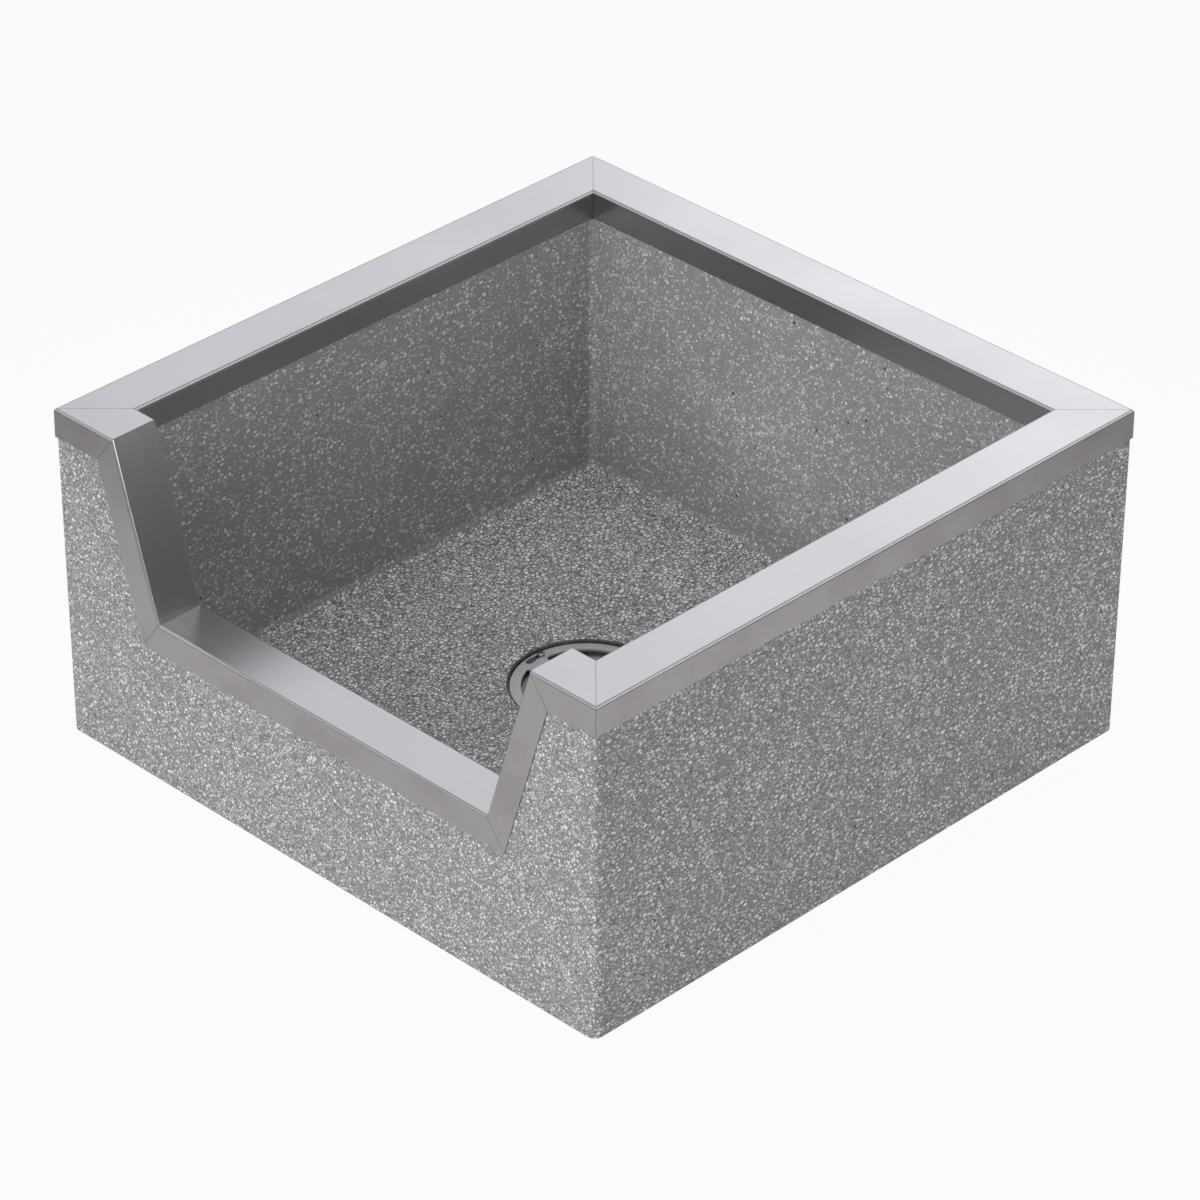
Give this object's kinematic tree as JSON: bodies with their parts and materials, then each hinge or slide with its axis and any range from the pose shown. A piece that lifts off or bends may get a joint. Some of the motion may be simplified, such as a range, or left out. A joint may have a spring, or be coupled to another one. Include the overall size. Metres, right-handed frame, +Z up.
{
  "type": "mop service sink",
  "caption": "Square floor-standing terrazzo mop basin with a dropped front, bent stainless caps on every curb and a floor drain.",
  "frame": {"origin": "centre of the underside, on the floor", "axes": "+Z up, the dropped front faces -Y, +X to the right seen from the front"},
  "size_m": [0.61, 0.61, 0.305],
  "materials": {
    "terrazzo": "polished cement terrazzo with white marble chips",
    "cap_steel": "satin, brushed along each run",
    "strap_steel": "plain mill strip",
    "drain_casting": "dull grey-brown cast bronze",
    "gasket_rubber": "matt black",
    "strainer_steel": "turned satin",
    "basket_steel": "perforated sheet, satin",
    "screw_steel": "bright machine screws"
  },
  "bodies": {
    "basin": {"cap_anchor_back_1": "strap_steel", "cap_anchor_back_2": "strap_steel", "cap_anchor_back_3": "strap_steel", "cap_anchor_front_left": "strap_steel", "cap_anchor_front_right": "strap_steel", "cap_anchor_left_1": "strap_steel", "cap_anchor_left_2": "strap_steel", "cap_anchor_left_3": "strap_steel", "cap_anchor_right_1": "strap_steel", "cap_anchor_right_2": "strap_steel", "cap_anchor_right_3": "strap_steel", "cap_anchor_slope_left": "strap_steel", "cap_anchor_slope_right": "strap_steel", "cap_anchor_threshold_1": "strap_steel", "cap_anchor_threshold_2": "strap_steel", "cap_anchor_threshold_3": "strap_steel", "cap_back": "cap_steel", "cap_front_left": "cap_steel", "cap_front_right": "cap_steel", "cap_left": "cap_steel", "cap_right": "cap_steel", "cap_slope_left": "cap_steel", "cap_slope_right": "cap_steel", "cap_threshold": "cap_steel", "drain_body": "drain_casting", "pipe_gasket": "gasket_rubber", "terrazzo_body": "terrazzo"},
    "lint_basket": {"lint_basket": "basket_steel"},
    "strainer": {"strainer": "strainer_steel", "strainer_screw_1": "screw_steel", "strainer_screw_2": "screw_steel", "strainer_screw_3": "screw_steel", "strainer_screw_4": "screw_steel"}
  },
  "joints": [
    {"name": "lint_basket_lift", "type": "slide", "parent": "basin", "child": "lint_basket", "axis": [0, 0, 1], "range_m": [0, 0.12]},
    {"name": "strainer_lift", "type": "slide", "parent": "lint_basket", "child": "strainer", "axis": [0, 0, 1], "range_m": [0, 0.1]}
  ]
}
